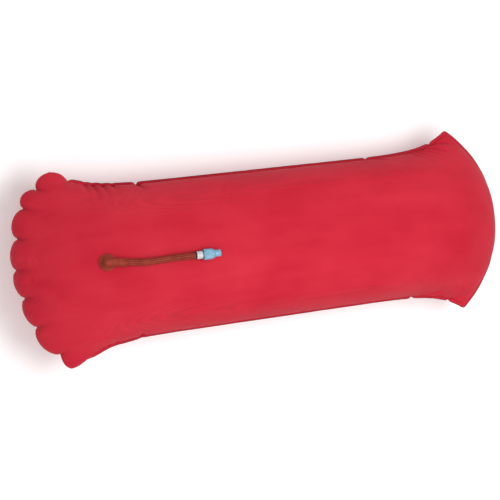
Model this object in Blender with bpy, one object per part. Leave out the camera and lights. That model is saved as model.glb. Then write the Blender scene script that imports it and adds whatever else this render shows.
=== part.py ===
"""An inflatable pillow bag: two coated-nylon panels welded all round, with a rubber hose and a twist valve.

The bag lies flat side down on z = 0, centred on the origin, with its length along X and the hose end at -X.
"""

import math

import bmesh
import bpy
from mathutils import Matrix, Vector

# Bag outline, measured on the weld line. The corners stand wider and shorter than the middle.
CORNER_X = 0.394
END_BULGE = 0.083
END_FULLNESS = 2.4
WAIST_Y = 0.135
CORNER_FLARE = 0.036
FLARE_POWER = 8
WELD_WIDTH = 0.007

# Bag depth. The belly would hang as deep as the crown stands, but the floor flattens it.
CROWN = 0.118
SEAM_HEIGHT = 0.108
END_POWER = 5
END_ROUNDING = 0.6
PANEL_THICKNESS = 0.001
LENGTH_STEPS = 28
WIDTH_STEPS = 20

# Rubber flange with its elbow sleeve, placed on the crown.
FLANGE_X = -0.333
FLANGE_Y = 0.006
SLEEVE_YAW = math.radians(-7)
FLANGE_RADIUS = 0.0155
FLANGE_EDGE = 0.0018
DOME_HEIGHT = 0.0085
SLEEVE_WALL = 0.0015
SLEEVE_LIP = 0.0007
SLEEVE_CLEARANCE = 0.0006
SLEEVE_LIP_WIDTH = 0.0025
SLEEVE_LENGTH = 0.034
SOCKET_DEPTH = 0.014
AIR_RADIUS = 0.003
AIR_DRILL_REACH = 0.02
PATCH_RADIUS = 0.030
PATCH_THICKNESS = 0.0008

# Hose, and its route after the sleeve: the distance past the flange's centre along X, then Y, then how far it
# has risen from where the hose would lie on the bag (0) to where the valve's barrel does (1).
HOSE_RADIUS = 0.0062
HOSE_STRAIGHT = 0.022
LYING_CLEARANCE = 0.0004
HOSE_ROUTE = (
    (0.064, -0.0013, 1.06),
    (0.071, -0.0014, 0.90),
    (0.078, -0.0014, 0.69),
    (0.085, -0.0013, 0.44),
    (0.092, -0.0011, 0.22),
    (0.099, -0.0009, 0.09),
    (0.106, -0.0007, 0.12),
    (0.113, -0.0005, 0.34),
    (0.120, -0.0004, 0.62),
    (0.127, -0.0004, 0.84),
    (0.134, -0.0004, 0.94),
    (0.141, -0.0005, 0.98),
    (0.148, -0.0006, 1.00),
    (0.154, -0.0007, 1.00),
)
HOSE_POINT_SPACING = 4 * HOSE_RADIUS
BAND_WIDTH = 0.0020
BAND_THICKNESS = 0.0006

# Valve, measured along its axis from the end of the hose.
COLLAR_LENGTH = 0.0104
COLLAR_RADIUS = 0.0069
NECK_END = 0.0295
NECK_RADIUS = 0.0052
COLLAR_WALL = 0.0018
REAR_BORE_DEPTH = 0.008
AIR_HOLES = 4
AIR_HOLE_RADIUS = 0.00095
PIN_RADIUS = 0.0021
PIN_TIP = 0.0355
CAP_GAP = 0.0018
BARREL_LENGTH = 0.0173
BARREL_RADIUS = 0.0094
SHOULDER_RADIUS = 0.0090
CONE_LENGTH = 0.0055
NOZZLE_LENGTH = 0.0085
NOZZLE_RADIUS = 0.0060
NOZZLE_LIP = 0.0004
NOZZLE_BORE_START = 0.0335
CAP_WALL_AT_CAVITY_END = 0.0310
RIBS = 24
RIB_DEPTH = 0.0005
SEAL_POSITION = 0.0166
SEAL_SECTION_RADIUS = 0.00075

GAP = 0.0003  # left between pieces that touch
FACET_ROOM = 0.0008  # how far a flat facet may lie under the round surface it stands for
CUT_OVERSHOOT = 0.003  # how far a cutter runs past the wall that it cuts
SLEEVE_RADIUS = HOSE_RADIUS + GAP + SLEEVE_WALL

RED_NYLON = ("red_nylon", (0.62, 0.02, 0.045), 0.55)
BROWN_RUBBER = ("brown_rubber", (0.20, 0.045, 0.02), 0.6)
BLACK_RUBBER = ("black_rubber", (0.02, 0.02, 0.02), 0.7)
WHITE_PLASTIC = ("white_plastic", (0.8, 0.8, 0.78), 0.35)
BLUE_PLASTIC = ("blue_plastic", (0.25, 0.58, 0.78), 0.3)


def clear_scene():
    for obj in list(bpy.data.objects):
        bpy.data.objects.remove(obj)


def material(finish):
    name, colour, roughness = finish
    found = bpy.data.materials.get(name)
    if found:
        return found
    made = bpy.data.materials.new(name)
    made.use_nodes = True
    shader = made.node_tree.nodes["Principled BSDF"]
    shader.inputs["Base Color"].default_value = (*colour, 1)
    shader.inputs["Roughness"].default_value = roughness
    shader.inputs["Metallic"].default_value = 0
    made.diffuse_color = (*colour, 1)
    return made


def add_object(name, bm, finish=None, parent=None):
    """Makes an object of the bmesh. One without a finish is a helper that isn't part of the bag."""
    bmesh.ops.recalc_face_normals(bm, faces=bm.faces)
    mesh = bpy.data.meshes.new(name)
    bm.to_mesh(mesh)
    bm.free()
    obj = bpy.data.objects.new(name, mesh)
    bpy.context.scene.collection.objects.link(obj)
    obj.parent = parent
    if finish:
        mesh.materials.append(material(finish))
        mesh.shade_smooth()
        mesh.set_sharp_from_angle(angle=math.radians(35))
    else:
        obj.hide_render = True
        obj.display_type = "WIRE"
    return obj


def add_empty(name, matrix, parent=None):
    empty = bpy.data.objects.new(name, None)
    bpy.context.scene.collection.objects.link(empty)
    empty.parent = parent
    empty.matrix_local = matrix
    return empty


def boolean(target, tool, operation):
    modifier = target.modifiers.new(f"{operation.lower()}_{tool.name}", "BOOLEAN")
    modifier.object = tool
    modifier.operation = operation


def turned(profile, steps):
    """A bmesh of a profile of (along, radius) points turned round local X. From axis to axis it is solid."""
    bm = bmesh.new()
    verts = [bm.verts.new((along, radius, 0)) for along, radius in profile]
    edges = [bm.edges.new(pair) for pair in zip(verts, verts[1:])]
    if profile[0][1] > 0:
        edges.append(bm.edges.new((verts[-1], verts[0])))
    bmesh.ops.spin(
        bm, geom=verts + edges, cent=(0, 0, 0), axis=(1, 0, 0), angle=math.tau, steps=steps, use_merge=True
    )
    bmesh.ops.remove_doubles(bm, verts=bm.verts, dist=1e-6)
    return bm


def rod(start, end, radius, steps=24):
    """A bmesh of a plain round bar along local X."""
    return turned(((start, 0), (start, radius), (end, radius), (end, 0)), steps)


# The bag's surface. u runs from one end weld (-1) to the other (1) and v from one side weld to the other.


def plan(u, v, grow=0.0):
    reach = CORNER_X + grow + END_BULGE * (1 - abs(v) ** END_FULLNESS)
    half_width = WAIST_Y + grow + CORNER_FLARE * abs(u) ** FLARE_POWER
    return u * reach, v * half_width


def fullness(u, v):
    """How full the bag stands at a point, from 0 at the weld to 1 in the middle."""
    lengthwise = max(0.0, 1 - abs(u) ** END_POWER) ** END_ROUNDING
    return lengthwise * math.sqrt(max(0.0, 1 - v * v))


def crown_height(x, y, inside=False):
    """Height of the upper panel's outer or inner face over the floor at (x, y)."""
    grow = -PANEL_THICKNESS if inside else 0.0
    u = v = 0.0
    for _ in range(30):
        full_x, full_y = plan(1.0, v, grow)[0], plan(u, 1.0, grow)[1]
        u, v = x / full_x, y / full_y
    foot = SEAM_HEIGHT + GAP / 2 + (0 if inside else PANEL_THICKNESS)
    return foot + (CROWN - PANEL_THICKNESS) * fullness(u, v)


def spread(steps):
    """Values from -1 to 1, closer together towards the ends."""
    return [math.sin(math.pi / 2 * (2 * i / steps - 1)) for i in range(steps + 1)]


def panel_mesh(side):
    """One panel as a closed shell: its outer and inner faces, and the flat weld strip round them.

    side is 1 for the upper panel and -1 for the lower one, which the floor flattens.
    """
    bm = bmesh.new()
    us, vs = spread(LENGTH_STEPS), spread(WIDTH_STEPS)

    def vertex(u, v, grow, depth, most):
        x, y = plan(u, v, grow)
        return bm.verts.new((x, y, SEAM_HEIGHT + side * min(depth, most)))

    outer_most = SEAM_HEIGHT if side < 0 else math.inf
    inner_most = SEAM_HEIGHT - PANEL_THICKNESS if side < 0 else math.inf
    rise = CROWN - PANEL_THICKNESS
    outer_foot = GAP / 2 + PANEL_THICKNESS
    outer = [[vertex(u, v, 0, outer_foot + rise * fullness(u, v), outer_most) for v in vs] for u in us]
    inner = [
        [vertex(u, v, -PANEL_THICKNESS, GAP / 2 + rise * fullness(u, v), inner_most) for v in vs] for u in us
    ]
    for grid in (outer, inner):
        for i in range(LENGTH_STEPS):
            for j in range(WIDTH_STEPS):
                bm.faces.new((grid[i][j], grid[i + 1][j], grid[i + 1][j + 1], grid[i][j + 1]))

    last_u, last_v = LENGTH_STEPS, WIDTH_STEPS
    rim = [(i, 0) for i in range(last_u)] + [(last_u, j) for j in range(last_v)]
    rim += [(i, last_v) for i in range(last_u, 0, -1)] + [(0, j) for j in range(last_v, 0, -1)]
    loops = [
        [outer[i][j] for i, j in rim],
        [vertex(us[i], vs[j], WELD_WIDTH, outer_foot, math.inf) for i, j in rim],
        [vertex(us[i], vs[j], WELD_WIDTH, GAP / 2, math.inf) for i, j in rim],
        [inner[i][j] for i, j in rim],
    ]
    for first, second in zip(loops, loops[1:]):
        for k in range(len(rim)):
            n = (k + 1) % len(rim)
            bm.faces.new((first[k], first[n], second[n], second[k]))
    return bm


def flange_frame():
    """The flange's own frame: on the crown, Z square to the bag and X along the sleeve."""
    step = 0.002
    slope_x = (crown_height(FLANGE_X + step, FLANGE_Y) - crown_height(FLANGE_X - step, FLANGE_Y)) / (2 * step)
    slope_y = (crown_height(FLANGE_X, FLANGE_Y + step) - crown_height(FLANGE_X, FLANGE_Y - step)) / (2 * step)
    up = Vector((-slope_x, -slope_y, 1)).normalized()
    along = Vector((math.cos(SLEEVE_YAW), math.sin(SLEEVE_YAW), 0))
    along = (along - along.dot(up) * up).normalized()
    turn = Matrix((along, up.cross(along), up)).transposed().to_4x4()
    seat = Vector((FLANGE_X, FLANGE_Y, crown_height(FLANGE_X, FLANGE_Y) + GAP))
    return Matrix.Translation(seat) @ turn


def sleeve_place(frame):
    """The sleeve's axis in the flange's frame: it clears the bag at the flange and at the sleeve's end."""
    room = SLEEVE_RADIUS + SLEEVE_LIP
    start = Vector((0, 0, room + GAP))
    end = frame @ (start + Vector((SLEEVE_LENGTH, 0, 0)))
    end.z = crown_height(end.x, end.y) + room + SLEEVE_CLEARANCE
    dip = -math.atan2((frame.inverted() @ end - start).z, SLEEVE_LENGTH)
    return Matrix.Translation(start) @ Matrix.Rotation(dip, 4, "Y")


def disc_on_bag(frame, radius, rings, steps, bottom, top, inside):
    """A round disc whose faces follow the bag. bottom and top give a face's height over it at a radius."""
    bm = bmesh.new()
    back = frame.inverted()

    def vertex(height, r, angle=0.0):
        spot = frame @ Vector((r * math.cos(angle), r * math.sin(angle), 0))
        on_bag = back @ Vector((spot.x, spot.y, crown_height(spot.x, spot.y, inside)))
        return bm.verts.new(on_bag + Vector((0, 0, height(r))))

    edges = []
    for height in (bottom, top):
        centre = vertex(height, 0)
        radii = [radius * (k + 1) / rings for k in range(rings)]
        circles = [[vertex(height, r, math.tau * i / steps) for i in range(steps)] for r in radii]
        for i in range(steps):
            n = (i + 1) % steps
            bm.faces.new((centre, circles[0][i], circles[0][n]))
            for inner, outer in zip(circles, circles[1:]):
                bm.faces.new((inner[i], outer[i], outer[n], inner[n]))
        edges.append(circles[-1])
    for i in range(steps):
        n = (i + 1) % steps
        bm.faces.new((edges[0][i], edges[0][n], edges[1][n], edges[1][i]))
    return bm


def build_panels(frame):
    upper = add_object("upper_panel", panel_mesh(1), RED_NYLON)
    add_object("lower_panel", panel_mesh(-1), RED_NYLON)
    drill = rod(-AIR_DRILL_REACH, AIR_DRILL_REACH, AIR_RADIUS + GAP)
    hole = add_object("air_hole_cutter", drill, parent=add_empty("air_hole", frame))
    hole.rotation_euler = (0, math.pi / 2, 0)
    boolean(upper, hole, "DIFFERENCE")
    return hole


def build_patch(frame, hole):
    """The doubler welded to the inside of the upper panel, which spreads the flange's pull."""
    top = -(GAP + FACET_ROOM)
    mesh = disc_on_bag(
        frame, PATCH_RADIUS, 3, 24, lambda r: top - PATCH_THICKNESS, lambda r: top, inside=True
    )
    patch = add_object("inner_patch", mesh, RED_NYLON, add_empty("patch_seat", frame))
    boolean(patch, hole, "DIFFERENCE")


def dome(r):
    """Height of the flange's upper face over the bag at a radius."""
    return GAP + FLANGE_EDGE + DOME_HEIGHT * (1 - (r / FLANGE_RADIUS) ** 2) ** 1.5


def build_flange(frame):
    seat = add_empty("flange_seat", frame)
    foot = disc_on_bag(frame, FLANGE_RADIUS, 5, 32, lambda r: GAP, dome, inside=False)
    flange = add_object("hose_flange", foot, BROWN_RUBBER, seat)
    axis = add_empty("sleeve_axis", sleeve_place(frame), seat)
    lip_start = SLEEVE_LENGTH - SLEEVE_LIP_WIDTH
    lip_radius = SLEEVE_RADIUS + SLEEVE_LIP
    heel = [
        (-SLEEVE_RADIUS * math.cos(a), SLEEVE_RADIUS * math.sin(a))
        for a in (math.pi / 2 * k / 6 for k in range(7))
    ]
    profile = [
        *heel,
        (lip_start, SLEEVE_RADIUS),
        (lip_start + SLEEVE_LIP, lip_radius),
        (SLEEVE_LENGTH - SLEEVE_LIP, lip_radius),
        (SLEEVE_LENGTH, SLEEVE_RADIUS),
        (SLEEVE_LENGTH, 0),
    ]
    sleeve = add_object("sleeve_shape", turned(profile, 32), parent=axis)
    boolean(flange, sleeve, "UNION")
    socket_start = SLEEVE_LENGTH - SOCKET_DEPTH
    bores = turned(
        (
            (0, 0),
            (0, AIR_RADIUS),
            (socket_start, AIR_RADIUS),
            (socket_start, HOSE_RADIUS + GAP),
            (SLEEVE_LENGTH + CUT_OVERSHOOT, HOSE_RADIUS + GAP),
            (SLEEVE_LENGTH + CUT_OVERSHOOT, 0),
        ),
        32,
    )
    boolean(flange, add_object("sleeve_bore_cutter", bores, parent=axis), "DIFFERENCE")
    down = add_object("flange_bore_cutter", rod(-AIR_RADIUS / 2, AIR_DRILL_REACH, AIR_RADIUS), parent=axis)
    down.rotation_euler = (0, math.pi / 2, 0)
    boolean(flange, down, "DIFFERENCE")


def curve_point(a, b, c, d, t):
    """A point between b and c on the Catmull-Rom curve through a, b, c and d."""
    bend = 2 * a - 5 * b + 4 * c - d
    twist = 3 * b - a - 3 * c + d
    return 0.5 * (2 * b + (c - a) * t + bend * t**2 + twist * t**3)


def smooth_curve(points, spacing, fineness=20):
    """Points about spacing apart on a smooth curve through the given ones."""
    ends = [2 * points[0] - points[1], *points, 2 * points[-1] - points[-2]]
    fine = [
        curve_point(*four, k / fineness)
        for four in zip(ends, ends[1:], ends[2:], ends[3:])
        for k in range(fineness)
    ]
    fine.append(points[-1])
    lengths = [0.0]
    for a, b in zip(fine, fine[1:]):
        lengths.append(lengths[-1] + (b - a).length)
    count = round(lengths[-1] / spacing)
    found = [fine[0]]
    for k in range(1, count):
        wanted = lengths[-1] * k / count
        i = next(j for j, length in enumerate(lengths) if length >= wanted)
        share = (wanted - lengths[i - 1]) / (lengths[i] - lengths[i - 1])
        found.append(fine[i - 1].lerp(fine[i], share))
    found.append(fine[-1])
    return found


def hose_points(sleeve):
    """The middle of the hose, from inside the sleeve to the valve."""
    socket_start = SLEEVE_LENGTH - SOCKET_DEPTH + GAP
    straight_end = SLEEVE_LENGTH + HOSE_STRAIGHT
    on_bag = [sleeve @ Vector((along, 0, 0)) for along in (socket_start, SLEEVE_LENGTH, straight_end)]

    for past, y, rise in HOSE_ROUTE:
        x = FLANGE_X + past
        lift = HOSE_RADIUS + rise * (BARREL_RADIUS - HOSE_RADIUS) + LYING_CLEARANCE
        on_bag.append(Vector((x, y, crown_height(x, y) + lift)))
    return smooth_curve(on_bag, HOSE_POINT_SPACING)


def build_hose(points):
    curve = bpy.data.curves.new("hose", "CURVE")
    curve.dimensions = "3D"
    curve.bevel_depth = HOSE_RADIUS
    curve.bevel_resolution = 4
    curve.use_fill_caps = True
    spline = curve.splines.new("POLY")
    spline.points.add(len(points) - 1)
    for target, point in zip(spline.points, points):
        target.co = (*point, 1)
    hose = bpy.data.objects.new("hose", curve)
    bpy.context.scene.collection.objects.link(hose)
    curve.materials.append(material(BROWN_RUBBER))


def valve_frame(points):
    """The valve's own frame: at the end of the hose, with X along the way the hose points."""
    along = (points[-1] - points[-2]).normalized()
    across = Vector((0, 0, 1)).cross(along).normalized()
    turn = Matrix((along, across, along.cross(across))).transposed().to_4x4()
    return Matrix.Translation(points[-1] + GAP * along) @ turn


def build_band(frame):
    inner = HOSE_RADIUS + GAP
    outer = inner + BAND_THICKNESS
    start, end = -GAP - BAND_WIDTH, -GAP
    profile = ((start, inner), (start, outer), (end, outer), (end, inner))
    add_object("hose_band", turned(profile, 32), BLACK_RUBBER, add_empty("band_axis", frame))


def build_valve_body(frame):
    chamfer = 0.0005
    profile = (
        (REAR_BORE_DEPTH, 0),
        (REAR_BORE_DEPTH, COLLAR_RADIUS - COLLAR_WALL),
        (0, COLLAR_RADIUS - COLLAR_WALL),
        (0, COLLAR_RADIUS - chamfer),
        (chamfer, COLLAR_RADIUS),
        (COLLAR_LENGTH - chamfer, COLLAR_RADIUS),
        (COLLAR_LENGTH, COLLAR_RADIUS - chamfer),
        (COLLAR_LENGTH, NECK_RADIUS),
        (NECK_END, NECK_RADIUS),
        (NECK_END, PIN_RADIUS),
        (PIN_TIP - chamfer, PIN_RADIUS),
        (PIN_TIP, PIN_RADIUS - chamfer),
        (PIN_TIP, 0),
    )
    axis = add_empty("valve_axis", frame)
    body = add_object("valve_body", turned(profile, 32), WHITE_PLASTIC, axis)
    holes = bmesh.new()
    for k in range(AIR_HOLES):
        angle = math.tau * k / AIR_HOLES
        hole = rod(REAR_BORE_DEPTH - CUT_OVERSHOOT, NECK_END + CUT_OVERSHOOT, AIR_HOLE_RADIUS, 10)
        place = Vector((0, math.cos(angle), math.sin(angle))) * (PIN_RADIUS + NECK_RADIUS) / 2
        bmesh.ops.translate(hole, vec=place, verts=hole.verts)
        mesh = bpy.data.meshes.new("air_hole")
        hole.to_mesh(mesh)
        hole.free()
        holes.from_mesh(mesh)
        bpy.data.meshes.remove(mesh)
    boolean(body, add_object("air_holes_cutter", holes, parent=axis), "DIFFERENCE")


def build_seal(frame):
    centre = NECK_RADIUS + GAP + SEAL_SECTION_RADIUS
    profile = [
        (
            SEAL_SECTION_RADIUS * math.cos(math.tau * k / 12),
            centre + SEAL_SECTION_RADIUS * math.sin(math.tau * k / 12),
        )
        for k in range(12)
    ]
    axis = add_empty("seal_axis", frame @ Matrix.Translation((SEAL_POSITION, 0, 0)))
    add_object("cap_seal", turned(profile, 32), BLACK_RUBBER, axis)


def build_cap(frame):
    """The twist cap, made closed: its nozzle bore is plugged by the valve body's pin."""
    rear = COLLAR_LENGTH + CAP_GAP
    shoulder = rear + BARREL_LENGTH
    nozzle = shoulder + CONE_LENGTH
    tip = nozzle + NOZZLE_LENGTH
    cavity = NECK_RADIUS + 0.0004
    bore = PIN_RADIUS + GAP
    groove = NECK_RADIUS + 2 * GAP + 2 * SEAL_SECTION_RADIUS
    groove_half = SEAL_SECTION_RADIUS + GAP
    outside = (
        (rear, BARREL_RADIUS - 0.0008),
        (rear + 0.0008, BARREL_RADIUS),
        (shoulder - 0.0006, SHOULDER_RADIUS + 0.0002),
        (shoulder, SHOULDER_RADIUS - 0.0003),
        (nozzle - 0.0015, NOZZLE_RADIUS + 0.0010),
        (nozzle, NOZZLE_RADIUS),
        (tip - 0.0022, NOZZLE_RADIUS),
        (tip - 0.0015, NOZZLE_RADIUS + NOZZLE_LIP),
        (tip - 0.0004, NOZZLE_RADIUS + NOZZLE_LIP),
        (tip, NOZZLE_RADIUS),
    )
    inside = (
        (tip, bore),
        (NOZZLE_BORE_START, bore),
        (CAP_WALL_AT_CAVITY_END, cavity),
        (SEAL_POSITION + groove_half, cavity),
        (SEAL_POSITION + groove_half, groove),
        (SEAL_POSITION - groove_half, groove),
        (SEAL_POSITION - groove_half, cavity),
        (rear, cavity),
    )
    bm = turned(outside + inside, 2 * RIBS)
    for vert in bm.verts:
        radius = math.hypot(vert.co.y, vert.co.z)
        step = round(math.atan2(vert.co.z, vert.co.y) / math.tau * 2 * RIBS)
        if radius > SHOULDER_RADIUS - 0.0002 and step % 2:
            vert.co.yz *= (radius - RIB_DEPTH) / radius
    axis = add_empty("cap_axis", frame)
    add_object("valve_cap", bm, BLUE_PLASTIC, axis)


def main():
    clear_scene()
    flange = flange_frame()
    hole = build_panels(flange)
    build_patch(flange, hole)
    build_flange(flange)
    points = hose_points(flange @ sleeve_place(flange))
    build_hose(points)
    valve = valve_frame(points)
    build_band(valve)
    build_valve_body(valve)
    build_seal(valve)
    build_cap(valve)


main()
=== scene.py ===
"""Looks of the inflatable pillow bag: puckered red fabric, a welded edge, a ribbed hose and its valve."""

import math

import bmesh
import bpy
import numpy as np
from mathutils import Matrix, Vector


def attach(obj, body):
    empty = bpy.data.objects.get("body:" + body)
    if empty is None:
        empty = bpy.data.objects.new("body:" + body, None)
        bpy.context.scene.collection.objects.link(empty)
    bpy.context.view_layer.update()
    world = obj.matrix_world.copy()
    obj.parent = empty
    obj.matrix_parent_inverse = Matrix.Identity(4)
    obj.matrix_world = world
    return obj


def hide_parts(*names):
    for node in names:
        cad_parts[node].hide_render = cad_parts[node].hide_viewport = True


# Camera
LENS = 85
VIEW_TARGET = Vector((-0.040, -0.0085, 0.11))
VIEW_DISTANCE = 2.234
VIEW_TILTS = (math.radians(-17.62), math.radians(-2.29), math.radians(-6.56))

# The hose's middle, from inside the sleeve to the valve, and its ribs; faces deep in the ribs' grooves get a
# painted shade
HOSE_ROUTE = (
    (-0.3147, 0.0039, 0.2262),
    (-0.3013, 0.0023, 0.2282),
    (-0.2797, -0.0003, 0.2316),
    (-0.2690, -0.0013, 0.2321),
    (-0.2620, -0.0014, 0.2321),
    (-0.2550, -0.0014, 0.2319),
    (-0.2480, -0.0013, 0.2315),
    (-0.2410, -0.0011, 0.2311),
    (-0.2340, -0.0009, 0.2310),
    (-0.2270, -0.0007, 0.2314),
    (-0.2200, -0.0005, 0.2324),
    (-0.2130, -0.0004, 0.2335),
    (-0.2060, -0.0004, 0.2344),
    (-0.1990, -0.0004, 0.2349),
    (-0.1920, -0.0005, 0.2351),
    (-0.1850, -0.0006, 0.2353),
    (-0.1790, -0.0007, 0.2354),
)
HOSE_RADIUS = 0.0062
HOSE_STEPS = 4
HOSE_RIBS = 10
HOSE_RIB_STEPS = 10
HOSE_GROOVE = 0.0009
HOSE_GROOVE_SHADE_EDGE = 1.0

# Fittings, as the CAD has them: the flange with its sleeve, and the valve with its cap
FLANGE_PLACE = Matrix(
    (
        (0.97526, 0.12186, -0.18444, -0.33300),
        (-0.11733, 0.99246, 0.03534, 0.00600),
        (0.18736, -0.01282, 0.98221, 0.21428),
        (0, 0, 0, 1),
    )
)
SLEEVE_PLACE = Matrix(
    (
        (0.98146, 0.12186, -0.14791, -0.33466),
        (-0.11856, 0.99246, 0.03093, 0.00632),
        (0.15057, -0.01282, 0.98852, 0.22312),
        (0, 0, 0, 1),
    )
)
FLANGE_RADIUS = 0.0155
FLANGE_EDGE = 0.0018
FLANGE_ROUNDING = 0.0006
FLANGE_RIM = 0.0032
FLANGE_TOP = ((0.0015, 0.0002), (FLANGE_EDGE, 0.0008), (FLANGE_EDGE, FLANGE_RIM))
FLANGE_GAP = 0.0003
DOME_HEIGHT = 0.0085
DOME_POWER = 0.8
DOME_SHARES = (0.95, 0.85, 0.7, 0.5, 0.3, 0.15)
ROUND_SIDES = 64
SLEEVE_RADIUS = 0.0080
SLEEVE_LENGTH = 0.034
SLEEVE_TAPER = 0.0007
SLEEVE_LIP = 0.0007
SLEEVE_LIP_WIDTH = 0.0025
SLEEVE_SIDES = 48
ELBOW_VOXEL = 0.0005
OUTLINE_TRIES = 12
VALVE_START = (-0.1787, -0.000704, 0.235435)
VALVE_AXIS = (0.999415, -0.01348, 0.031421)
COLLAR_LENGTH = 0.0104
COLLAR_RADIUS = 0.0069
COLLAR_LINE = (0.30, 0.34, 0.38)
FINE_EDGE = 0.0002
CORE_FILLET = 0.0006
NECK_END = 0.0295
NECK_RADIUS = 0.0052
PIN_RADIUS = 0.0021
PIN_TIP = 0.0355
CAP_GAP = 0.0018
CAP_ROUNDING = 0.0008
BARREL_LENGTH = 0.0173
BARREL_RADIUS = 0.0094
SHOULDER_RADIUS = 0.0090
SHOULDER_BEND = ((0.0030, 0.0001), (0.0022, 0.0003))
CONE_LENGTH = 0.0055
CONE_SHARES = (0.12, 0.24, 0.36, 0.48, 0.6, 0.72, 0.84, 0.94)
NOZZLE_LENGTH = 0.0085
NOZZLE_RADIUS = 0.0060
NOZZLE_LIP = 0.0004
NOZZLE_LIP_WIDTH = 0.0018
NOZZLE_BORE_START = 0.0335
BORE_CLEARANCE = 0.0003
CAVITY_CLEARANCE = 0.0004
CAVITY_END = 0.0310
SEAL_POSITION = 0.0166
SEAL_GROOVE_DEPTH = 0.0017
SEAL_GROOVE_WIDTH = 0.0021
RIBS = 24
RIB_STEPS = 8
RIB_DEPTH = 0.0008
RIB_END = 0.0010
RIB_POWER = 0.7

# The bag's outline at the weld, and its fullness, as the CAD has them
CORNER_X = 0.394
END_BULGE = 0.083
END_FULLNESS = 2.4
WAIST_Y = 0.135
CORNER_FLARE = 0.036
FLARE_POWER = 8
WELD_WIDTH = 0.007
CROWN = 0.118
SEAM_HEIGHT = 0.108
END_POWER = 5
END_ROUNDING = 0.6

# The slack end's lobes, from the +Y side round the end: each one's first notch, its bulge,
# how blunt it is, and below 1 how far its peak leans back to that notch.
LOBES = (
    (-0.368, 0.155, 0.0245, 0.5, 1.0),
    (-0.425, 0.145, 0.0145, 0.6, 1.0),
    (-0.452, 0.115, 0.0135, 0.6, 1.0),
    (-0.468, 0.063, 0.0095, 0.6, 1.0),
    (-0.477, 0.008, 0.0090, 0.6, 1.0),
    (-0.467, -0.043, 0.0110, 0.6, 1.0),
    (-0.452, -0.097, 0.0155, 0.6, 1.0),
    (-0.418, -0.150, 0.0310, 2.3, 0.39),
    (-0.302, -0.142, 0.0, 1.0, 1.0),
)
# How finely the lobes are drawn, how far they reach in from the seam, and how they swell and tuck under
LOBE_POINTS = 41
END_ROWS = 44
FADE_PLACES = 12
LOBE_REACH = 0.065
SIDE_LOBE_REACH = 0.039
LOBE_CREST = 0.022
LOBE_SWELL = 0.0052
LOBE_LEVEL = 0.55
SIDE_LOBE_SHARE = 0.6
SIDE_LOBE_LEVEL = 0.5
SIDE_LOBE_END = 0.1
LOBE_TUCK = 0.004
TUCK_CREST = 0.016
FULL_RISE = 0.02

# Creases across the long sides: side, place, lean, depth, width, how far from the seam each is deepest,
# and how deep it is at the seam as a share of that
CREASES = (
    (1, -0.2445, 0.15, 0.0075, 0.0045, 0.012, 0.9),
    (1, -0.340, 0.05, 0.0040, 0.0034, 0.017, 0.2),
    (1, -0.326, 0.05, 0.0046, 0.0034, 0.020, 0.2),
    (1, -0.308, 0.05, 0.0042, 0.0036, 0.018, 0.2),
    (1, -0.289, 0.05, 0.0036, 0.0040, 0.016, 0.2),
    (1, -0.031, 0.40, 0.0026, 0.0036, 0.012, 0.2),
    (1, 0.2165, 0.80, 0.0060, 0.0040, 0.012, 0.6),
    (1, 0.292, 0.55, 0.0036, 0.0036, 0.020, 0.0),
    (1, 0.306, 0.60, 0.0042, 0.0036, 0.022, 0.0),
    (1, 0.320, 0.65, 0.0046, 0.0036, 0.024, 0.0),
    (1, 0.333, 0.70, 0.0048, 0.0036, 0.024, 0.0),
    (1, 0.358, 0.75, 0.0070, 0.0045, 0.016, 0.6),
    (-1, -0.268, 0.05, 0.0036, 0.0060, 0.012, 0.3),
    (-1, 0.282, 1.10, 0.0090, 0.0045, 0.014, 0.5),
    (-1, 0.330, 0.40, 0.0030, 0.0060, 0.012, 0.0),
    (-1, 0.364, 0.50, 0.0060, 0.0045, 0.012, 0.6),
)

# The fabric's grid, and its slack along the long sides and at the slack end. Each fade gives the distance
# from a seam where the slack starts, then the one where it is full.
CROWN_SAMPLES = 4001
CELLS_ALONG = 200
CELLS_ACROSS = 84
SIDE_SLACK = 0.045
SIDE_SLACK_FADE = (0.10, 0.01)
SIDE_SLACK_AT_WAIST = 0.3
SLACK_END_FADE = (0.02, 0.08)
FAR_END_FADE = (0.05, 0.12)
END_SLACK = 0.01
END_SLACK_FADE = (0.06, 0.02)

# The fabric's inflation: how strongly each part is held in place, from 0 to 1, and the simulation's steps
FREE_HOLD = 0.02
SEAM_HOLD = 0.7
FAR_SEAM_HOLD = 0.9
FAR_SEAM_FROM = 0.93
HOSE_MIDDLE_X = -0.25
HOSE_HALF_LENGTH = 0.1
HOSE_HOLD_FADE = (0.14, 0.02)
SEED = 7
FIRST_RIPPLE = 0.0003
STEPS = 110
SWEEPS = 5
PUSH = 0.00012
CARRY = 0.9
CROWN_MOVE = 0.0025
MOST_MOVE = 0.012
MOST_MOVE_FADE = (0.12, 0.04)

# Threads of the fabric: steps along and across, then how strongly they resist being stretched and squeezed
THREADS = (
    (1, 0, 1.0, 0.6),
    (0, 1, 1.0, 0.6),
    (1, 1, 0.5, 0.2),
    (1, -1, 0.5, 0.2),
    (2, 0, 0.0, 0.12),
    (0, 2, 0.0, 0.12),
)

# The welded margin: how far out its section's points are, and how it waves and tucks under the slack end
WELD_THICKNESS = 0.0008
WELD_REACHES = (-0.0015, 0.0022, 0.0058, WELD_WIDTH)
WELD_SMOOTHING = 2
WELD_TUCK_FADE = (-0.34, -0.39)
TUCK_DOWN = 0.95
TUCK_IN = 0.3
WAVE_HEIGHTS = (0.16, 0.12)
WAVE_RUNS = (0.011, 0.047, 0.023)

UP = np.array([0, 0, 1.0])

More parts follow.
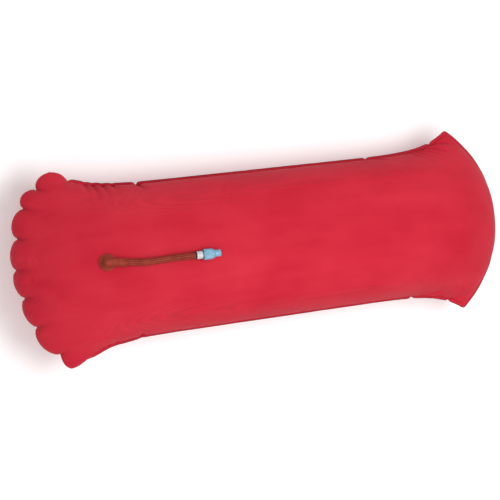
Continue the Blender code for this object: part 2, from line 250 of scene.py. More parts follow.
# Fabric: its threads, its colours, its blotches and streaks and how far they reach between the colours, its
# roughness, and its bumps' scale, detail, depth and strength
THREAD_PITCH = 0.0016
THREAD_DEPTH = 0.00025
# How much the weave's gaps are painted darker and its thread tops lighter: painted shade and light
THREAD_GAP_SHADE = 0.45
NYLON_DARK = (0.51, 0.009, 0.028)
NYLON_LIGHT = (0.69, 0.037, 0.060)
BLOTCH_SCALE = 7.0
BLOTCH_SHARE = 0.6
STREAK_SCALE = 30.0
STREAK_STRETCH = (0.25, 1, 1)
STREAK_SHARE = 0.4
TONE_RANGE = (0.15, 0.85)
NYLON_ROUGHNESS = (0.52, 0.68)
NYLON_BUMPS = ((22.0, 2.0, 0.0016, 0.35), (140.0, 3.0, 0.0003, 0.5))

# Studio: the sky, the floor, and each light's place, target, size and power
SKY_STRENGTH = 0.52
FLOOR_GLOW = 0.12
FLOOR_SIZE = 80
FLOOR_COLOURS = ((0.93, 0.93, 0.93), (0.95, 0.95, 0.95))
LIGHTS = (
    ("key", (0.24, -0.05, 1.6), (0.1, 0, 0.1), (0.9, 0.7), 16),
    ("fill", (-1.0, -0.8, 2.0), (0, 0, 0.1), (1.8, 1.8), 10),
)

# Rubber, plastic and the weld's cut edge: dark and light colours, roughness, specular, the grain's scale and
# depth, coat, subsurface
MOULDINGS = {
    # A near-black red for the weld margin's outer band and edge
    "cut_edge": ((0.10, 0.003, 0.010), (0.16, 0.006, 0.018), (0.6, 0.8), 0.2, 900.0, 0.0001, 0, 0),
    "brown_rubber": ((0.20, 0.022, 0.012), (0.34, 0.040, 0.020), (0.50, 0.66), 0.2, 1500.0, 0.00006, 0, 0),
    # Painted shade: a darker brown for the faces deep in the hose's grooves
    "hose_groove_shade": ((0.045, 0.006, 0.004), (0.09, 0.011, 0.007), (0.6, 0.75), 0.15, 1500.0, 0.00006, 0, 0),
    "black_rubber": ((0.010, 0.006, 0.007), (0.025, 0.014, 0.015), (0.5, 0.7), 0.3, 1500.0, 0.00006, 0, 0),
    "white_plastic": ((0.48, 0.47, 0.49), (0.57, 0.56, 0.58), (0.3, 0.42), 0.5, 1200.0, 0.00003, 0.1, 0.1),
    "blue_plastic": ((0.12, 0.31, 0.45), (0.20, 0.40, 0.54), (0.22, 0.34), 0.5, 1200.0, 0.00003, 0.2, 0.15),
}

# What they share: uneven colour in patches, uneven roughness where rubbed, shallow sink marks, and grain
PATCH_SCALE = 120.0
RUB_SCALE = 260.0
SINK_SCALE = 90.0
SINK_DEPTH = 0.0003
SINK_STRENGTH = 0.3
GRAIN_STRENGTH = 0.6


def place_camera():
    data = bpy.data.cameras.new("camera")
    data.lens = LENS
    camera = bpy.data.objects.new("camera", data)
    bpy.context.scene.collection.objects.link(camera)
    about_y, about_x, roll = (Matrix.Rotation(tilt, 4, axis) for tilt, axis in zip(VIEW_TILTS, "YXZ"))
    turn = about_y @ about_x @ roll
    eye = VIEW_TARGET + turn @ Vector((0, 0, VIEW_DISTANCE))
    camera.matrix_world = Matrix.Translation(eye) @ turn
    bpy.context.scene.camera = camera


def smoothstep(low, high, value):
    t = np.clip((value - low) / (high - low), 0, 1)
    return t * t * (3 - 2 * t)


def running_length(points):
    return np.concatenate([[0], np.cumsum(np.linalg.norm(np.diff(points, axis=0), axis=1))])


def unit(vectors):
    return vectors / np.linalg.norm(vectors, axis=-1, keepdims=True)


def link(name, mesh):
    obj = bpy.data.objects.new(name, mesh)
    bpy.context.scene.collection.objects.link(obj)
    return obj


# Hose


def curve_point(a, b, c, d, t):
    """A point of the smooth curve from b to c, which also passes a and d."""
    bend = 2 * a - 5 * b + 4 * c - d
    twist = 3 * b - a - 3 * c + d
    return 0.5 * (2 * b + (c - a) * t + bend * t**2 + twist * t**3)


def smooth_curve(points, steps):
    points = [np.array(p) for p in points]
    ends = [2 * points[0] - points[1], *points, 2 * points[-1] - points[-2]]
    found = []
    for four in zip(ends, ends[1:], ends[2:], ends[3:]):
        found += [curve_point(*four, k / steps) for k in range(steps)]
    return found + [points[-1]]


def swept_tube(name, path, section):
    """A closed mesh tube along path. section holds the radius at each of its sides."""
    sides = len(section)
    bm = bmesh.new()
    rings = []
    for i, point in enumerate(path):
        along = Vector(path[min(i + 1, len(path) - 1)] - path[max(i - 1, 0)]).normalized()
        across = Vector((0, 0, 1)).cross(along).normalized()
        up = along.cross(across)
        ring = []
        for k, radius in enumerate(section):
            angle = math.tau * k / sides
            spot = Vector(point) + radius * (math.cos(angle) * across + math.sin(angle) * up)
            ring.append(bm.verts.new(spot))
        rings.append(ring)
    for first, second in zip(rings, rings[1:]):
        for k in range(sides):
            n = (k + 1) % sides
            bm.faces.new((first[k], first[n], second[n], second[k]))
    bm.faces.new(reversed(rings[0]))
    bm.faces.new(rings[-1])
    bmesh.ops.recalc_face_normals(bm, faces=bm.faces)
    mesh = bpy.data.meshes.new(name)
    bm.to_mesh(mesh)
    bm.free()
    mesh.shade_smooth()
    return link(name, mesh)


def make_hose():
    sides = HOSE_RIBS * HOSE_RIB_STEPS
    crest = [abs(math.sin(math.pi * k / HOSE_RIB_STEPS)) ** 0.5 for k in range(sides)]
    path = smooth_curve(HOSE_ROUTE, HOSE_STEPS)
    hose = swept_tube("ribbed_hose", path, [HOSE_RADIUS - HOSE_GROOVE * (1 - c) for c in crest])
    # Faces deep in the grooves get the darker brown, a painted shade
    shaded_groove_faces = [int(crest[k] + crest[(k + 1) % sides] < HOSE_GROOVE_SHADE_EDGE) for k in range(sides)]
    at_the_ends = [0, 0]
    hose.data.polygons.foreach_set("material_index", shaded_groove_faces * (len(path) - 1) + at_the_ends)
    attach(hose, "bag")
    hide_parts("hose")
    return hose


# Bag


def reach(v):
    """How far the outline's end is from the middle, at that share of the half width."""
    return CORNER_X + END_BULGE * (1 - np.abs(v) ** END_FULLNESS)


def half_width(u):
    """How far the outline's side is from the middle, at that share of the reach."""
    return WAIST_Y + CORNER_FLARE * np.abs(u) ** FLARE_POWER


def plan(u, v):
    return u * reach(v), v * half_width(u)


def fullness(u, v):
    lengthwise = np.maximum(0, 1 - np.abs(u) ** END_POWER) ** END_ROUNDING
    return lengthwise * np.sqrt(np.maximum(0, 1 - v * v))


def even_along():
    """Values of u that lie evenly along the crown from end to end."""
    u = np.linspace(-1, 1, CROWN_SAMPLES)
    x, _ = plan(u, 0 * u)
    z = CROWN * fullness(u, 0 * u)
    run = np.concatenate([[0], np.cumsum(np.hypot(np.diff(x), np.diff(z)))])
    return np.interp(np.linspace(0, run[-1], CELLS_ALONG + 1), run, u), run[-1]


def swell_and_fade(distance, peak):
    """Rises from 0 at the seam to 1 at the peak distance, and fades away past it."""
    t = distance / peak
    return t * np.exp(1 - t)


def lobe_outline():
    """The slack end's outline: for each lobe, its points from notch to notch."""
    lobes = []
    t = 0.5 - 0.5 * np.cos(np.linspace(0, math.pi, LOBE_POINTS))
    for (x0, y0, bulge, power, lean), (x1, y1, *_) in zip(LOBES, LOBES[1:]):
        start, end = np.array([x0, y0]), np.array([x1, y1])
        chord = end - start
        out = np.array([chord[1], -chord[0]]) / np.linalg.norm(chord)
        swell = bulge * (4 * t**lean * (1 - t**lean)) ** power
        lobes.append(start + t[:, None] * chord + swell[:, None] * out)
    return lobes


def border_loop(columns):
    """Grid places round the slack end, from the +Y side round the end to the -Y side."""
    loop = [(i, columns - 1) for i in range(END_ROWS, 0, -1)]
    loop += [(0, j) for j in range(columns - 1, -1, -1)]
    return loop + [(i, 0) for i in range(1, END_ROWS + 1)]


def shape_slack_end(x, y):
    """How far each border place of the slack end moves to lie on its lobes, and how far up a lobe it is."""
    loop = border_loop(x.shape[1])
    spots = np.array([[x[place], y[place]] for place in loop])
    lobes = lobe_outline()
    notches = np.array([lobe[0] for lobe in lobes] + [lobes[-1][-1]])
    near = [int(np.argmin(np.linalg.norm(spots - notch, axis=1))) for notch in notches]
    shift = np.zeros((*x.shape, 2))
    fullest = np.zeros(x.shape)
    run = running_length(spots)
    for lobe, first, last in zip(lobes, near, near[1:]):
        share = (run[first : last + 1] - run[first]) / (run[last] - run[first])
        along = running_length(lobe)
        for k, part in zip(range(first, last + 1), share):
            goal = [np.interp(part * along[-1], along, lobe[:, axis]) for axis in (0, 1)]
            shift[loop[k]] = goal - spots[k]
            fullest[loop[k]] = (4 * part * (1 - part)) ** 0.5
    fade = smoothstep(0, FADE_PLACES, np.arange(len(loop) - near[-1]))
    for k, part in zip(range(near[-1], len(loop)), fade):
        shift[loop[k]] = shift[loop[near[-1]]] * (1 - part)
        fullest[loop[k]] = SIDE_LOBE_LEVEL * part
    return shift, fullest


def spread_inwards(border, from_end, from_side):
    """Carries values of the slack end's border over the panel, fading from the end and from the sides."""
    end_row, corner_a, corner_b = border[0], border[0, 0], border[0, -1]
    half = border.shape[1] // 2
    spread = from_end[..., None] * end_row[None]
    for columns, side, corner in ((slice(0, half), 0, corner_a), (slice(half, None), -1, corner_b)):
        share = from_side[:, columns, None]
        spread[:, columns] += share * border[:, side][:, None]
        spread[:, columns] -= from_end[:, columns, None] * share * corner
    return spread


def bag_points():
    """The full bag before its threads settle: two grids of points that share their border."""
    us, crown_run = even_along()
    vs = np.sin(np.linspace(-math.pi / 2, math.pi / 2, CELLS_ACROSS + 1))
    u, v = np.meshgrid(us, vs, indexing="ij")
    x, y = plan(u, v)
    rise = CROWN * fullness(u, v)
    from_end = np.linspace(0, crown_run, CELLS_ALONG + 1)[:, None] + 0 * v
    waist_run = math.pi * 0.5 * (WAIST_Y + CROWN)
    across = np.linspace(0, waist_run, CELLS_ACROSS + 1)
    from_side = np.minimum(across, across[::-1])[None, :] + 0 * u

    shift, fullest = shape_slack_end(x, y)
    near_end = smoothstep(LOBE_REACH, 0, from_end)
    near_side = smoothstep(SIDE_LOBE_REACH, 0, from_side)
    moved = spread_inwards(shift, near_end, near_side)
    x, y = x + moved[..., 0], y + moved[..., 1]
    lobed = (fullest[0][None, :] - LOBE_LEVEL) * swell_and_fade(from_end, LOBE_CREST)
    by_side = np.where(v > 0, fullest[:, -1:], fullest[:, :1]) - SIDE_LOBE_LEVEL
    by_side *= (np.arange(CELLS_ALONG + 1)[:, None] <= END_ROWS) * swell_and_fade(from_side, LOBE_CREST)
    swell = LOBE_SWELL * (lobed + SIDE_LOBE_SHARE * by_side * smoothstep(SIDE_LOBE_END, 0.0, from_end))
    tuck = LOBE_TUCK * fullest[0][None, :] * swell_and_fade(from_end, TUCK_CREST)
    x = x - tuck

    crease = np.zeros_like(x)
    for side, place, lean, depth, width, length, at_seam in CREASES:
        where = x - place - lean * from_side
        on_side = np.where(side * v > 0, 1, 0)
        profile = swell_and_fade(from_side, length) + at_seam * smoothstep(length, 0, from_side)
        crease += depth * np.exp(-((where / width) ** 2)) * on_side * profile
    y = y - np.sign(v) * crease
    swell = swell - crease

    full_rise = rise + swell * np.minimum(1, rise / FULL_RISE)
    upper = np.stack([x, y, SEAM_HEIGHT + full_rise], axis=-1)
    lower = np.stack([x, y, SEAM_HEIGHT - np.minimum(full_rise, SEAM_HEIGHT)], axis=-1)
    return u, upper, lower, from_end, from_side


def pairs(grid, along, across):
    """The first and second ends of the threads that run that many steps along and across the grid."""
    rows, columns = grid.shape[:2]
    left, right = max(0, -across), max(0, across)
    first = grid[: rows - along, left : columns - right]
    second = grid[along:, left + across : columns - right + across]
    return first, second


def thread_passes(grid, start, slack):
    """The threads of one panel, in passes in which no two threads share an end."""
    passes = []
    for along, across, tension, squeeze in THREADS:
        first, second = pairs(grid, along, across)
        rest = np.linalg.norm(start[first] - start[second], axis=-1)
        if along:
            rest = rest * (1 + pairs(slack, along, across)[0])
        row, column = np.indices(first.shape)
        turn = (row // along) % 2 if along else (column // across) % 2
        for odd in (0, 1):
            chosen = turn == odd
            passes.append((first[chosen], second[chosen], rest[chosen], tension, squeeze))
    return passes


def grid_inside(u):
    inside = np.zeros(u.shape, bool)
    inside[1:-1, 1:-1] = True
    return inside


def fabric_slack(u, from_end, from_side):
    """How much longer each lengthwise thread is than its place, as a share."""
    from_far_end = from_end.max() - from_end
    slack = SIDE_SLACK * smoothstep(*SIDE_SLACK_FADE, from_side) * smoothstep(*FAR_END_FADE, from_far_end)
    slack *= smoothstep(*SLACK_END_FADE, from_end)
    slack *= SIDE_SLACK_AT_WAIST + (1 - SIDE_SLACK_AT_WAIST) * np.abs(u) ** 2
    return slack + END_SLACK * smoothstep(*END_SLACK_FADE, from_end)


def fabric_hold(start, upper, u):
    """How strongly each point is held in place: the seam firmly, and the fabric under the hose fully."""
    hold = np.full(len(start), FREE_HOLD)
    border = ~grid_inside(u)
    hold[upper[border]] = SEAM_HOLD
    hold[upper[border & (u > FAR_SEAM_FROM)]] = FAR_SEAM_HOLD
    x, y = start[upper][..., 0], start[upper][..., 1]
    from_hose = np.hypot(np.maximum(0, np.abs(x - HOSE_MIDDLE_X) - HOSE_HALF_LENGTH), y)
    hold[upper] = np.maximum(hold[upper], smoothstep(*HOSE_HOLD_FADE, from_hose))
    return hold


def cap_moves(start, p, upper, lower, from_side):
    """Shortens moves from start to p that are too long: less is allowed on the crown than by the seams."""
    room = np.full(len(start), MOST_MOVE)
    for grid in (upper, lower):
        room[grid] = CROWN_MOVE + (MOST_MOVE - CROWN_MOVE) * smoothstep(*MOST_MOVE_FADE, from_side)
    move = p - start
    far = np.linalg.norm(move, axis=1)
    return start + move * np.minimum(1, room / np.maximum(far, 1e-9))[:, None]


def inflate(start, upper, lower, u, from_end, from_side):
    """Fills the bag: pressure pushes the fabric out, its threads keep their lengths, and it puckers."""
    slack = fabric_slack(u, from_end, from_side)
    passes = thread_passes(upper, start, slack) + thread_passes(lower, start, slack)
    hold = fabric_hold(start, upper, u)
    p = start + np.random.default_rng(SEED).normal(0, FIRST_RIPPLE, start.shape)
    before = p.copy()
    for _ in range(STEPS):
        moved = p + CARRY * (p - before)
        before = p
        p = moved + PUSH * (outward(moved, upper) - outward(moved, lower))
        for _ in range(SWEEPS):
            for first, second, rest, tension, squeeze in passes:
                d = p[second] - p[first]
                size = np.sqrt(np.einsum("ij,ij->i", d, d))
                over = size - rest
                step = (0.5 * np.where(over > 0, tension, squeeze) * over / size)[:, None] * d
                p[first] += step
                p[second] -= step
        p += hold[:, None] * (start - p)
        p[:, 2] = np.maximum(p[:, 2], 0)
    return cap_moves(start, p, upper, lower, from_side)


def outward(p, grid):
    """Unit normals at each point of one panel, upwards, as rows for all the points."""
    surface = p[grid]
    n = np.cross(np.gradient(surface, axis=0), np.gradient(surface, axis=1))
    n /= np.maximum(np.linalg.norm(n, axis=-1, keepdims=True), 1e-12)
    found = np.zeros_like(p)
    found[grid] = n
    return found


def make_bag():
    """The bag's skin, and the points of its seam in order."""
    u, upper_points, lower_points, from_end, from_side = bag_points()
    inside = grid_inside(u)
    upper = np.arange(u.size).reshape(u.shape)
    lower = upper.copy()
    lower[inside] = u.size + np.arange(inside.sum())
    points = np.concatenate([upper_points.reshape(-1, 3), lower_points[inside]])
    points = inflate(points, upper, lower, u, from_end, from_side)
    faces = []
    for grid, turn in ((upper, 1), (lower, -1)):
        quads = np.stack([grid[:-1, :-1], grid[1:, :-1], grid[1:, 1:], grid[:-1, 1:]], axis=-1)
        faces += quads.reshape(-1, 4)[:, ::turn].tolist()
    mesh = bpy.data.meshes.new("bag_skin")
    mesh.from_pydata(points.tolist(), [], faces)
    mesh.shade_smooth()
    bag = link("bag_skin", mesh)
    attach(bag, "bag")
    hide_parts("upper_panel", "lower_panel")
    loop = np.concatenate([upper[:-1, 0], upper[-1, :-1], upper[:0:-1, -1], upper[0, :0:-1]])
    return bag, points[loop]


def make_weld(seam):
    """The flat welded margin outside the seam, which is gathered down under the lobes of the slack end."""
    tangent = np.roll(seam, -1, axis=0) - np.roll(seam, 1, axis=0)
    out = unit(np.stack([tangent[:, 1], -tangent[:, 0], 0 * tangent[:, 0]], axis=-1))
    for _ in range(WELD_SMOOTHING):
        out = unit(out + 0.5 * (np.roll(out, 1, axis=0) + np.roll(out, -1, axis=0)))
    tucked = smoothstep(*WELD_TUCK_FADE, seam[:, 0])[:, None]
    short, long, middle = (running_length(seam)[:, None] / run for run in WAVE_RUNS)
    high, low = WAVE_HEIGHTS
    wave = high * np.sin(short) * np.sin(long + 1) + low * np.sin(middle + 2)
    sideways = unit((1 - tucked) * (out + wave * UP) - tucked * (TUCK_DOWN * UP + TUCK_IN * out))
    face = np.cross(sideways, unit(tangent))

    section = [(far, 1) for far in WELD_REACHES] + [(far, -1) for far in reversed(WELD_REACHES)]
    rows = [seam + sideways * far + face * side * WELD_THICKNESS / 2 for far, side in section]
    count = len(section)
    faces, on_cut_edge = [], []
    for i in range(len(seam)):
        here, ahead = i * count, (i + 1) % len(seam) * count
        for k in range(count):
            n = (k + 1) % count
            faces.append((here + k, ahead + k, ahead + n, here + n))
            # The margin's outer band and its edge get the dark cut_edge colour
            on_cut_edge.append(int(WELD_WIDTH in (section[k][0], section[n][0])))
    mesh = bpy.data.meshes.new("weld_margin")
    mesh.from_pydata(np.stack(rows, axis=1).reshape(-1, 3).tolist(), [], faces)
    bm = bmesh.new()
    bm.from_mesh(mesh)
    bmesh.ops.recalc_face_normals(bm, faces=bm.faces)
    bm.to_mesh(mesh)
    bm.free()
    mesh.polygons.foreach_set("material_index", on_cut_edge)
    mesh.shade_smooth()
    weld = link("weld_margin", mesh)
    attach(weld, "bag")
    return weld


# Fittings


def around(ring, k):
    """The kth vert of a ring, or the only one where the ring is a point on the axis."""
    return ring[k % len(ring)]


def lathe(bm, profile, sides, place, ribs=None):
    """Adds a closed turned solid. Its (along, radius) points end on the axis, or close round a bore."""
    rings = []
    for along, radius in profile:
        if radius == 0:
            rings.append([bm.verts.new(place @ Vector((along, 0, 0)))])
            continue
        ring = []
        for k in range(sides):
            angle = math.tau * k / sides
            r = radius - (ribs(along, angle) if ribs else 0)
            ring.append(bm.verts.new(place @ Vector((along, r * math.cos(angle), r * math.sin(angle)))))
        rings.append(ring)
    bored = profile[0][1] > 0
    for first, second in zip(rings, rings[1:] + (rings[:1] if bored else [])):
        for k in range(sides):
            n = (k + 1) % sides
            corners = (around(first, k), around(first, n), around(second, n), around(second, k))
            bm.faces.new(list(dict.fromkeys(corners)))


def finished_mesh(name, bm):
    bmesh.ops.recalc_face_normals(bm, faces=bm.faces)
    mesh = bpy.data.meshes.new(name)
    bm.to_mesh(mesh)
    bm.free()
    mesh.shade_smooth()
    return link(name, mesh)


def arc(along, radius, size, start, steps=5):
    """A quarter-round of the profile, centred on (along, radius), from the start angle in quarter turns."""
    angles = [math.pi / 2 * (start - k / steps) for k in range(steps + 1)]
    return [(along + size * math.cos(a), radius + size * math.sin(a)) for a in angles]


def valve_place():
    along = Vector(VALVE_AXIS)
    across = Vector((0, 0, 1)).cross(along).normalized()
    turn = Matrix((along, across, along.cross(across))).transposed().to_4x4()
    return Matrix.Translation(VALVE_START) @ turn


def make_valve_core():
    """The white body: a rounded collar with a fine line, a neck, and the pin that shuts the nozzle."""
    fillet = CORE_FILLET
    line_start, line, line_end = (COLLAR_LENGTH * share for share in COLLAR_LINE)
    profile = [
        (0, 0),
        *arc(fillet, COLLAR_RADIUS - fillet, fillet, 2),
        (line_start, COLLAR_RADIUS),
        (line, COLLAR_RADIUS - FINE_EDGE),
        (line_end, COLLAR_RADIUS),
        *arc(COLLAR_LENGTH - fillet, COLLAR_RADIUS - fillet, fillet, 1),
        (COLLAR_LENGTH, NECK_RADIUS + FINE_EDGE),
        (COLLAR_LENGTH + FINE_EDGE, NECK_RADIUS),
        *arc(NECK_END - fillet, NECK_RADIUS - fillet, fillet, 1),
        (NECK_END, PIN_RADIUS),
        *arc(PIN_TIP - fillet, PIN_RADIUS - fillet, fillet, 1),
        (PIN_TIP, 0),
    ]
    bm = bmesh.new()
    lathe(bm, profile, ROUND_SIDES, valve_place())
    core = finished_mesh("valve_core", bm)
    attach(core, "bag")
    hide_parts("valve_body")
    return core


def make_valve_grip():
    """The blue cap: a ribbed barrel, a shoulder, a cone, and a nozzle with a rounded lip."""
    rear = COLLAR_LENGTH + CAP_GAP
    shoulder = rear + BARREL_LENGTH
    nozzle = shoulder + CONE_LENGTH
    tip = nozzle + NOZZLE_LENGTH
    cavity, bore = NECK_RADIUS + CAVITY_CLEARANCE, PIN_RADIUS + BORE_CLEARANCE
    groove, half = cavity + SEAL_GROOVE_DEPTH, SEAL_GROOVE_WIDTH / 2
    edge, lip = CAP_ROUNDING, NOZZLE_LIP
    narrowing = NOZZLE_RADIUS - SHOULDER_RADIUS
    cone = [(CONE_LENGTH * t, narrowing * (3 * t * t - 2 * t**3)) for t in CONE_SHARES]
    profile = [
        *arc(rear + edge, BARREL_RADIUS - edge, edge, 2),
        (rear + 2 * edge, BARREL_RADIUS),
        (rear + BARREL_LENGTH / 2, BARREL_RADIUS),
        *((shoulder - back, BARREL_RADIUS - draw) for back, draw in SHOULDER_BEND),
        *arc(shoulder - edge, SHOULDER_RADIUS - edge, edge, 1),
        *((shoulder + run, SHOULDER_RADIUS + change) for run, change in cone),
        (nozzle + lip, NOZZLE_RADIUS),
        (tip - 3 * edge, NOZZLE_RADIUS),
        (tip - NOZZLE_LIP_WIDTH, NOZZLE_RADIUS + 0.8 * lip),
        *arc(tip - edge, NOZZLE_RADIUS - lip, edge, 1),
        (tip, bore + lip),
        (tip - lip, bore),
        (NOZZLE_BORE_START, bore),
        (CAVITY_END, cavity),
        (SEAL_POSITION + half, cavity),
        (SEAL_POSITION + half, groove),
        (SEAL_POSITION - half, groove),
        (SEAL_POSITION - half, cavity),
        (rear, cavity),
    ]

    def ribs(along, angle):
        start, end = rear + edge, shoulder - SHOULDER_BEND[-1][0]
        ends = smoothstep(start, start + RIB_END, along) * smoothstep(end, end - RIB_END, along)
        return RIB_DEPTH * ends * (0.5 - 0.5 * math.cos(RIBS * angle)) ** RIB_POWER

    bm = bmesh.new()
    lathe(bm, profile, RIBS * RIB_STEPS, valve_place(), ribs)
    grip = finished_mesh("valve_grip", bm)
    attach(grip, "cap")
    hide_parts("valve_cap")
    return grip


def crown_height(x, y):
    """The bag's height over a place, whose share of the outline is found by repeated tries."""
    u, v = x / CORNER_X, y / WAIST_Y
    for _ in range(OUTLINE_TRIES):
        u = x / reach(v)
        v = y / half_width(u)
    return SEAM_HEIGHT + CROWN * float(fullness(np.float64(u), np.float64(v)))


def flange_profile():
    """The flange's disc with its rounded rim, and the dome on it, as heights and radii."""
    edge, rounding = FLANGE_RADIUS - FLANGE_ROUNDING, FLANGE_ROUNDING
    rim = FLANGE_RADIUS - FLANGE_RIM
    swell = DOME_HEIGHT - FLANGE_EDGE
    profile = [(FLANGE_GAP, 0), (FLANGE_GAP, edge), *arc(FLANGE_GAP + rounding, edge, rounding, 2, 4)[1:]]
    profile += [(height, FLANGE_RADIUS - inset) for height, inset in FLANGE_TOP]
    dome = ((swell * math.cos(math.pi / 2 * t) ** DOME_POWER, rim * t) for t in DOME_SHARES)
    return profile + [(FLANGE_EDGE + rise, radius) for rise, radius in dome] + [(DOME_HEIGHT, 0)]


def sleeve_profile():
    """The sleeve, from its round inner end to its lip, as distances along it and radii."""
    start, end = SLEEVE_LENGTH - SLEEVE_LIP_WIDTH, SLEEVE_RADIUS - SLEEVE_TAPER
    lip = SLEEVE_LIP
    profile = [(-SLEEVE_RADIUS, 0), *arc(0, 0, SLEEVE_RADIUS, 2, 12)[1:]]
    profile += [(start, end), (start + lip, end + lip)]
    return profile + [(SLEEVE_LENGTH - lip, end + lip), (SLEEVE_LENGTH, end), (SLEEVE_LENGTH, 0)]


def make_elbow():
    """The moulded rubber flange: a rimmed disc that follows the bag, and a dome that runs into a sleeve."""
    bm = bmesh.new()
    lathe(bm, flange_profile(), ROUND_SIDES, Matrix.Rotation(-math.pi / 2, 4, "Y"))
    into = FLANGE_PLACE.inverted()
    for vert in bm.verts:
        spot = FLANGE_PLACE @ Vector((vert.co.x, vert.co.y, 0))
        on_bag = Vector((spot.x, spot.y, crown_height(spot.x, spot.y)))
        vert.co.z += (into @ on_bag).z + FLANGE_GAP
    bmesh.ops.transform(bm, matrix=FLANGE_PLACE, verts=bm.verts)
    lathe(bm, sleeve_profile(), SLEEVE_SIDES, SLEEVE_PLACE)
    rough = finished_mesh("elbow_rough", bm)
    remesh = rough.modifiers.new("fuse", "REMESH")
    remesh.mode = "VOXEL"
    remesh.voxel_size = ELBOW_VOXEL
    smooth = rough.modifiers.new("soften", "SMOOTH")
    smooth.iterations = 5
    smooth.factor = 0.5
    mesh = bpy.data.meshes.new_from_object(rough.evaluated_get(bpy.context.evaluated_depsgraph_get()))
    bpy.data.objects.remove(rough)
    mesh.shade_smooth()
    elbow = link("flange_elbow", mesh)
    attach(elbow, "bag")
    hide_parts("hose_flange")
    return elbow


# Materials


class Finish:
    """A node material in the making: a shader, with shorthands for the nodes that feed it."""

    def __init__(self, name, roughness, specular, sheen=0.0, coat=0.0, subsurface=0.0):
        self.material = bpy.data.materials.new(name)
        self.material.use_nodes = True
        self.tree = self.material.node_tree
        self.shader = self.tree.nodes["Principled BSDF"]
        for socket, value in (
            ("Roughness", roughness),
            ("Specular IOR Level", specular),
            ("Sheen Weight", sheen),
            ("Sheen Roughness", 0.45),
            ("Coat Weight", coat),
            ("Coat Roughness", 0.4),
            ("Subsurface Weight", subsurface),
            ("Subsurface Scale", 0.004),
        ):
            self.shader.inputs[socket].default_value = value
        self.place = self.node("ShaderNodeTexCoord").outputs["Object"]
        self.bumps = []

    def node(self, kind, **settings):
        made = self.tree.nodes.new(kind)
        for name, value in settings.items():
            setattr(made, name, value)
        return made

    def feed(self, socket, value):
        if hasattr(value, "is_output"):
            self.tree.links.new(value, socket)
        else:
            socket.default_value = value

    def math(self, operation, *values):
        made = self.node("ShaderNodeMath", operation=operation)
        for socket, value in zip(made.inputs, values):
            self.feed(socket, value)
        return made.outputs[0]

    def noise(self, scale, detail=3.0, stretch=(1, 1, 1)):
        mapping = self.node("ShaderNodeMapping")
        self.feed(mapping.inputs["Vector"], self.place)
        mapping.inputs["Scale"].default_value = stretch
        made = self.node("ShaderNodeTexNoise")
        self.feed(made.inputs["Vector"], mapping.outputs[0])
        made.inputs["Scale"].default_value = scale
        made.inputs["Detail"].default_value = detail
        return made.outputs["Fac"]

    def spread(self, value, low, high):
        """Maps the middle of a noise, 0.3 to 0.7, to low and high."""
        made = self.node("ShaderNodeMapRange")
        for socket, number in zip(made.inputs, (value, 0.3, 0.7, low, high)):
            self.feed(socket, number)
        return made.outputs[0]

    def weave(self, pitch):
        """A plain weave's height, -1 to 1, laid on each surface from the axis that it faces most."""
        place = self.node("ShaderNodeSeparateXYZ")
        self.feed(place.inputs[0], self.place)
        facing = self.node("ShaderNodeSeparateXYZ")
        self.feed(facing.inputs[0], self.node("ShaderNodeNewGeometry").outputs["Normal"])
        waves = [self.math("SINE", self.math("MULTIPLY", axis, math.tau / pitch)) for axis in place.outputs]
        height = 0.0
        for k in range(3):
            crossing = self.math("MULTIPLY", waves[(k + 1) % 3], waves[(k + 2) % 3])
            share = self.math("POWER", self.math("ABSOLUTE", facing.outputs[k]), 2.0)
            height = self.math("ADD", self.math("MULTIPLY", crossing, share), height)
        return height

    def bump(self, height, depth, strength=1.0):
        made = self.node("ShaderNodeBump")
        made.inputs["Strength"].default_value = strength
        made.inputs["Distance"].default_value = depth
        self.feed(made.inputs["Height"], height)
        if self.bumps:
            self.tree.links.new(self.bumps[-1].outputs[0], made.inputs["Normal"])
        self.bumps.append(made)
        self.tree.links.new(made.outputs[0], self.shader.inputs["Normal"])

    def colour(self, first, second, share):
        mix = self.node("ShaderNodeMix", data_type="RGBA")
        self.feed(mix.inputs["Factor"], share)
        mix.inputs["A"].default_value = (*first, 1)
        mix.inputs["B"].default_value = (*second, 1)
        self.tree.links.new(mix.outputs["Result"], self.shader.inputs["Base Color"])

    def roughness(self, value):
        self.tree.links.new(value, self.shader.inputs["Roughness"])


def red_nylon():
    """Coated nylon: a plain weave under a thin coat, with painted shade in the weave's gaps, soft blotches,
    rubbed streaks and a crinkle.
    """
    made = Finish("red_nylon", 0.6, 0.04, sheen=0.02, coat=0.01)
    weave = made.weave(THREAD_PITCH)
    blotch = made.noise(BLOTCH_SCALE, 4.0)
    streak = made.noise(STREAK_SCALE, 3.0, stretch=STREAK_STRETCH)
    blotches = made.math("MULTIPLY", blotch, BLOTCH_SHARE)
    tone = made.spread(made.math("ADD", blotches, made.math("MULTIPLY", streak, STREAK_SHARE)), *TONE_RANGE)
    # Painted shade and light: the colour is darker in the weave's gaps and lighter on the thread tops
    threads = made.math("MULTIPLY", weave, THREAD_GAP_SHADE)
    made.colour(NYLON_DARK, NYLON_LIGHT, made.math("ADD", tone, threads))
    made.roughness(made.spread(streak, *NYLON_ROUGHNESS))
    for scale, detail, depth, strength in NYLON_BUMPS:
        made.bump(made.noise(scale, detail), depth, strength)
    made.bump(weave, THREAD_DEPTH)
    return made.material


def moulded(name, dark, light, roughness, specular, grain, grain_depth, coat, subsurface):
    """Moulded rubber or plastic: a slightly uneven colour, a fine grain, and a sheen that varies."""
    made = Finish(name, roughness[0], specular, coat=coat, subsurface=subsurface)
    made.colour(dark, light, made.spread(made.noise(PATCH_SCALE, 4.0), 0, 1))
    made.roughness(made.spread(made.noise(RUB_SCALE), *roughness))
    made.bump(made.noise(SINK_SCALE, 2.0), SINK_DEPTH, SINK_STRENGTH)
    made.bump(made.noise(grain, 2.0), grain_depth, GRAIN_STRENGTH)
    return made.material


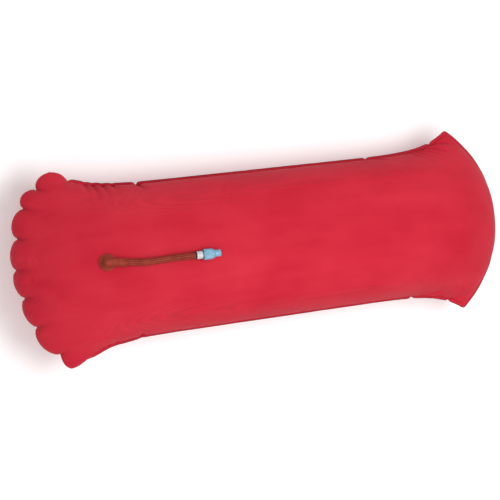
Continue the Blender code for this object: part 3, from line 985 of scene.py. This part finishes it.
def pale_floor():
    made = Finish("floor", 0.9, 0.1)
    made.colour(*FLOOR_COLOURS, made.noise(3.0))
    made.shader.inputs["Emission Color"].default_value = (1, 1, 1, 1)
    made.shader.inputs["Emission Strength"].default_value = FLOOR_GLOW
    return made.material


def finish_node(name, material):
    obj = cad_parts[name]
    obj.data.materials.clear()
    obj.data.materials.append(material)


def area_light(name, place, target, size, power):
    data = bpy.data.lights.new(name, "AREA")
    data.shape = "RECTANGLE"
    data.size, data.size_y = size
    data.energy = power
    lamp = bpy.data.objects.new(name, data)
    bpy.context.scene.collection.objects.link(lamp)
    lamp.location = place
    lamp.rotation_euler = (Vector(target) - Vector(place)).to_track_quat("-Z", "Y").to_euler()


def make_studio():
    bpy.context.scene.view_settings.view_transform = "Standard"
    world = bpy.data.worlds.new("studio")
    world.use_nodes = True
    sky = world.node_tree.nodes["Background"]
    sky.inputs["Color"].default_value = (1, 1, 1, 1)
    sky.inputs["Strength"].default_value = SKY_STRENGTH
    bpy.context.scene.world = world
    for light in LIGHTS:
        area_light(*light)
    mesh = bpy.data.meshes.new("floor")
    half = FLOOR_SIZE / 2
    corners = [(-half, -half, 0), (half, -half, 0), (half, half, 0), (-half, half, 0)]
    mesh.from_pydata(corners, [], [(0, 1, 2, 3)])
    floor = link("floor", mesh)
    mesh.materials.append(pale_floor())


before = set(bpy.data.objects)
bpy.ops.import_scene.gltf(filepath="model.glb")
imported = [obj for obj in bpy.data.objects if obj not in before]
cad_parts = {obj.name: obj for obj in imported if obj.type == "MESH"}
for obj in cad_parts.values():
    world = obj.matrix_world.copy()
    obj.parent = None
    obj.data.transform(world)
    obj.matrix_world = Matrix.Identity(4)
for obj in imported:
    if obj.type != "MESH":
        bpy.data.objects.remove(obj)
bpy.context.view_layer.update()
place_camera()
elbow, core, grip = make_elbow(), make_valve_core(), make_valve_grip()
hose = make_hose()
bag, seam = make_bag()
weld = make_weld(seam)

nylon = red_nylon()
moulding = {name: moulded(name, *row) for name, row in MOULDINGS.items()}
for piece, material in (
    (bag, nylon),
    (weld, nylon),
    (weld, moulding["cut_edge"]),
    (hose, moulding["brown_rubber"]),
    (hose, moulding["hose_groove_shade"]),
    (elbow, moulding["brown_rubber"]),
    (core, moulding["white_plastic"]),
    (grip, moulding["blue_plastic"]),
):
    piece.data.materials.append(material)
finish_node("inner_patch", nylon)
# The ring at the hose's end is coloured near-black, a dark band between the hose and the collar
finish_node("hose_band", moulding["black_rubber"])
finish_node("cap_seal", moulding["black_rubber"])
make_studio()
